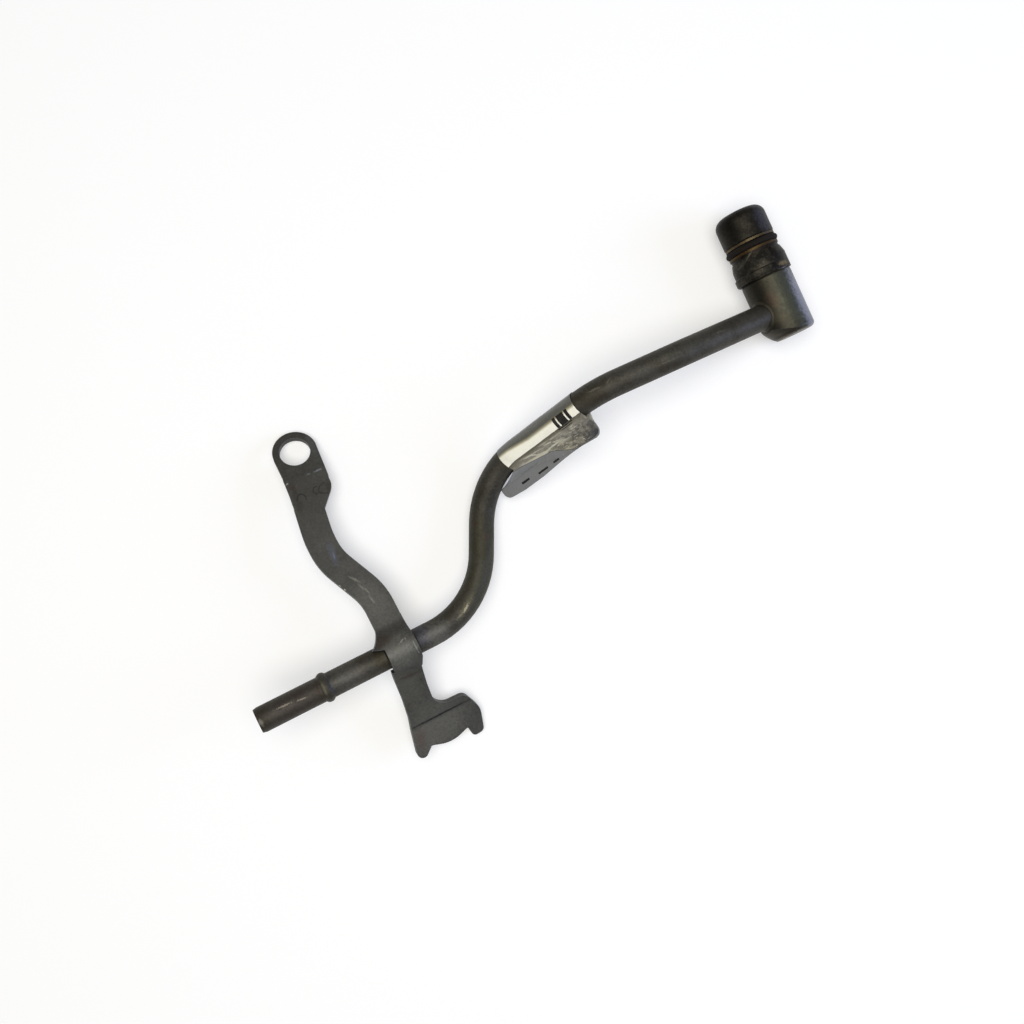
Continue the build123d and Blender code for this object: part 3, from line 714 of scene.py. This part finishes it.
def filmCoats(look, tree, q, d, crease):
    # what lies over the film's ground colour, as pairs of a hex colour and its mask
    coats = []

    # crushed film near the upper corner of the flag
    low, high = look["crushedDown"]
    mask = addNode(tree, "ShaderNodeMapRange", {"From Min": low, "From Max": high}, {"Value": d})
    low, high = look["crushedAcross"]
    across = addNode(tree, "ShaderNodeMapRange", {"From Min": low, "From Max": high},
                     {"Value": q})
    low, high = look["crushedNoise"]
    patchy = addNode(tree, "ShaderNodeMapRange",
                     {"From Min": low, "From Max": high, "To Min": look["crushedLeast"]},
                     {"Value": crease})
    for factor in (across, patchy):
        mask = addNode(tree, "ShaderNodeMath", {"operation": "MULTIPLY"}, {0: mask, 1: factor})
    coats.append((look["crushed"], mask))

    # glints of the stretched film: streaks down the strip, and broken ones where it is crushed
    overQ, skew, overD = look["glintFlow"]
    skewed = addNode(tree, "ShaderNodeMath", {"operation": "MULTIPLY", 1: skew}, {0: d})
    flowX = addNode(tree, "ShaderNodeMath", {"operation": "MULTIPLY_ADD", 1: overQ},
                    {0: q, 2: skewed})
    flowY = addNode(tree, "ShaderNodeMath", {"operation": "MULTIPLY", 1: overD}, {0: d})
    flow = addNode(tree, "ShaderNodeCombineXYZ", None, {"X": flowX, "Y": flowY})
    for scale, across, down, top, peak, strength in look["glints"]:
        streak = addNode(tree, "ShaderNodeTexNoise",
                         {"Scale": scale, "Detail": 3.0, "Distortion": 0.6}, {"Vector": flow})
        mask = addNode(tree, "ShaderNodeMapRange",
                       {"From Min": peak, "From Max": peak + look["glintRise"],
                        "To Max": strength}, {"Value": streak})
        for value, (low, high) in ((q, across), (d, down), (d, top)):
            inside = addNode(tree, "ShaderNodeMapRange", {"From Min": low, "From Max": high},
                             {"Value": value})
            mask = addNode(tree, "ShaderNodeMath", {"operation": "MULTIPLY"},
                           {0: mask, 1: inside})
        coats.append((look["glint"], mask))

    # the strip's free end is cut aslant: past that line only the grey lower ply shows
    slant = None
    for lean, start in look["freeEdge"]:
        shifted = addNode(tree, "ShaderNodeMath", {"operation": "SUBTRACT", 1: start}, {0: q})
        line = addNode(tree, "ShaderNodeMath", {"operation": "MULTIPLY_ADD", 1: lean},
                       {0: d, 2: shifted})
        slant = line if slant is None else addNode(
            tree, "ShaderNodeMath", {"operation": "MINIMUM"}, {0: slant, 1: line})
    soft = look["edgeSoft"]
    past = addNode(tree, "ShaderNodeMapRange", {"From Min": -soft, "From Max": soft},
                   {"Value": slant})
    coats.append((look["ply"], past))
    off = addNode(tree, "ShaderNodeMath", {"operation": "ABSOLUTE"}, {0: slant})
    low, high, strength = look["edgeLine"]
    near = addNode(tree, "ShaderNodeMapRange",
                   {"From Min": low, "From Max": high, "To Max": strength}, {"Value": off})
    coats.append((look["ink"], near))

    # the flag's upper corner is dim
    low, high = look["dimDown"]
    top = addNode(tree, "ShaderNodeMapRange", {"From Min": low, "From Max": high}, {"Value": d})
    low, high, strength = look["dimAcross"]
    outer = addNode(tree, "ShaderNodeMapRange",
                    {"From Min": low, "From Max": high, "To Max": strength}, {"Value": q})
    dark = addNode(tree, "ShaderNodeMath", {"operation": "MULTIPLY"}, {0: top, 1: outer})
    coats.append((look["dim"], dark))

    # the shaded side of the strip gets narrower toward its lower end
    low, high, amount = look["lean"]
    bent = addNode(tree, "ShaderNodeMapRange",
                   {"From Min": low, "From Max": high, "To Max": amount}, {"Value": d})
    leaning = addNode(tree, "ShaderNodeMath", {"operation": "ADD"}, {0: q, 1: bent})
    distances = {"across": q, "leaning": leaning}
    for hexColour, kind, low, high, soft in look["layers"]:
        coats.append((hexColour, stretchMask(tree, distances[kind], low, high, soft)))

    for q0, q1, d0, d1 in look["bars"]:
        mask = None
        for value, low, high in ((q, q0, q1), (d, d0, d1)):
            rise = addNode(tree, "ShaderNodeMath", {"operation": "GREATER_THAN", 1: low},
                           {0: value})
            fall = addNode(tree, "ShaderNodeMath", {"operation": "LESS_THAN", 1: high},
                           {0: value})
            inside = addNode(tree, "ShaderNodeMath", {"operation": "MULTIPLY"},
                             {0: rise, 1: fall})
            mask = inside if mask is None else addNode(
                tree, "ShaderNodeMath", {"operation": "MULTIPLY"}, {0: mask, 1: inside})
        coats.append((look["ink"], mask))
    return coats


def filmMaterial(look):
    # printed film under a clear laminate: white on the tube's crest, painted shade in olive
    # and grey on the side that turns away, brown to cream with painted glare and painted glints
    # on the slope and the flag's upper ply, and grey on its lower ply
    material, tree = newMaterial("laminatedFilmLabel")
    film = addNode(tree, "ShaderNodeUVMap", {"uv_map": "film"})
    parts = addNode(tree, "ShaderNodeSeparateXYZ", None, {0: film})
    q, d = [addNode(tree, "ShaderNodeMath",
                    {"operation": "MULTIPLY_ADD", 1: span, 2: -span * start},
                    {0: parts.outputs[name]}).outputs[0]
            for name, span, start in zip("XY", look["uvSpan"], look["uvStart"])]
    where = addNode(tree, "ShaderNodeTexCoord").outputs["Object"]
    crease = addNode(tree, "ShaderNodeTexNoise",
                     {"Scale": 1 / (look["creaseSize"] * mm), "Detail": 4.0,
                      "Distortion": 1.2}, {"Vector": where})
    # brown turning cream down the slope: partly the film's tint, partly painted glare
    low, high = look["creamFade"]
    fade = addNode(tree, "ShaderNodeMapRange",
                   {"interpolation_type": "SMOOTHSTEP", "From Min": low, "From Max": high},
                   {"Value": q})
    (low, high), (least, most) = look["creamNoise"], look["creamShare"]
    uneven = addNode(tree, "ShaderNodeMapRange",
                     {"From Min": low, "From Max": high, "To Min": least, "To Max": most},
                     {"Value": crease})
    creamy = addNode(tree, "ShaderNodeMath", {"operation": "MULTIPLY"}, {0: fade, 1: uneven})
    ground = addNode(tree, "ShaderNodeMix",
                     {"data_type": "RGBA", 6: linear(look["brown"]), 7: linear(look["cream"])},
                     {0: creamy}).outputs[2]
    dirt = addNode(tree, "ShaderNodeTexNoise",
                   {"Scale": 1 / (look["dirtSize"] * mm), "Detail": 5.0}, {"Vector": where})
    low, high, strength = look["soil"]
    soil = addNode(tree, "ShaderNodeMapRange",
                   {"From Min": low, "From Max": high, "To Max": strength}, {"Value": dirt})
    coats = filmCoats(look, tree, q, d, crease) + [(look["brown"], soil)]
    colour = laidOver(tree, ground, coats)
    (low, high), (least, most) = look["glossNoise"], look["gloss"]
    rough = addNode(tree, "ShaderNodeMapRange",
                    {"From Min": low, "From Max": high, "To Min": least, "To Max": most},
                    {"Value": dirt})
    bump = addNode(tree, "ShaderNodeBump",
                   {"Strength": look["creaseBump"], "Distance": look["creaseHeight"] * mm},
                   {"Height": crease})
    shader = addNode(tree, "ShaderNodeBsdfPrincipled", None,
                     {"Base Color": colour, "Roughness": rough, "Normal": bump})
    addNode(tree, "ShaderNodeOutputMaterial", None, {"Surface": shader})
    return material


film = labelFilm(labelLook)
film.data.materials.append(filmMaterial(labelLook))
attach(film, "root")
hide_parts("label")
print("label film made:", len(film.data.polygons), "faces")

# Table, lamps, sky and camera
studio = {
    "tableHeight": -0.05, "tableHalf": 2500, "tableColour": "#D9D9D9",
    "tableTopUp": 0.34, "farTopUp": 0.96, "fadeStart": 330, "fadeEnd": 1300,
    "sky": 0.2,
    "lamps": [  # name, place in mm, size in mm, watts, colour
        ("softKey", (-60, -60, 1150), 1000, 11.0, "#FFFDF6"),
        ("coldRight", (1000, 80, 430), 620, 4.5, "#BFCEFF")],
    "cameraPlace": Vector((-10.7102, -11.4794, 441.0)), "nearest": 10,
    "sensor": 36, "focalPixels": 1100, "picturePixels": 1024,
}


def table(look):
    half = look["tableHalf"] * mm
    mesh = bpy.data.meshes.new("table")
    z = look["tableHeight"] * mm
    corners = [(-half, -half, z), (half, -half, z), (half, half, z), (-half, half, z)]
    mesh.from_pydata(corners, [], [(0, 1, 2, 3)])
    top = bpy.data.objects.new("table", mesh)
    bpy.context.scene.collection.objects.link(top)
    material, tree = newMaterial("whitePaperTable")  # plain matt paper that keeps the shadow
    seen = addNode(tree, "ShaderNodeLightPath").outputs
    eyes = addNode(tree, "ShaderNodeMath", {"operation": "ADD"},
                   {0: seen["Is Camera Ray"], 1: seen["Is Glossy Ray"]})
    eyes = addNode(tree, "ShaderNodeMath", {"operation": "ADD"},
                   {0: eyes, 1: seen["Is Transmission Ray"]})
    # the top-up grows far away, where the lamps fade out
    place = addNode(tree, "ShaderNodeTexCoord").outputs["Object"]
    reach = addNode(tree, "ShaderNodeVectorMath", {"operation": "LENGTH"}, {0: place})
    farther = addNode(tree, "ShaderNodeMapRange",
                      {"interpolation_type": "SMOOTHSTEP", "From Min": look["fadeStart"] * mm,
                       "From Max": look["fadeEnd"] * mm, "To Min": look["tableTopUp"],
                       "To Max": look["farTopUp"]}, {"Value": reach.outputs["Value"]})
    strength = addNode(tree, "ShaderNodeMath", {"operation": "MULTIPLY"}, {0: eyes, 1: farther})
    paper = addNode(tree, "ShaderNodeBsdfDiffuse", {"Color": linear(look["tableColour"])})
    glow = addNode(tree, "ShaderNodeEmission", None, {"Strength": strength})
    both = addNode(tree, "ShaderNodeAddShader", None, {0: paper, 1: glow})
    addNode(tree, "ShaderNodeOutputMaterial", None, {"Surface": both})
    mesh.materials.append(material)
    return top


table(studio)

world = bpy.data.worlds.new("softSky")
bpy.context.scene.world = world
world.use_nodes = True
sky = world.node_tree
sky.nodes.clear()
seen = addNode(sky, "ShaderNodeLightPath").outputs
level = addNode(sky, "ShaderNodeMapRange", {"To Min": studio["sky"], "To Max": 1.0},
                {"Value": seen["Is Camera Ray"]})
back = addNode(sky, "ShaderNodeBackground", {"Color": linear("#FFFFFF")}, {"Strength": level})
addNode(sky, "ShaderNodeOutputWorld", None, {"Surface": back})

for name, place, size, watts, colour in studio["lamps"]:
    lamp = bpy.data.lights.new(name, "AREA")
    lamp.shape, lamp.size, lamp.energy = "DISK", size * mm, watts
    lamp.color = linear(colour)[:3]
    holder = bpy.data.objects.new(name, lamp)
    holder.location = Vector(place) * mm
    holder.rotation_euler = (-holder.location).to_track_quat("-Z", "Y").to_euler()
    bpy.context.scene.collection.objects.link(holder)

camera = bpy.data.objects.new("camera", bpy.data.cameras.new("camera"))
camera.data.sensor_width = studio["sensor"]
camera.data.lens = studio["sensor"] * studio["focalPixels"] / studio["picturePixels"]
camera.location = studio["cameraPlace"] * mm
camera.data.clip_start = studio["nearest"] * mm
bpy.context.scene.collection.objects.link(camera)
bpy.context.scene.camera = camera
bpy.context.scene.view_settings.view_transform = "Standard"
print("table, lamps and camera set")
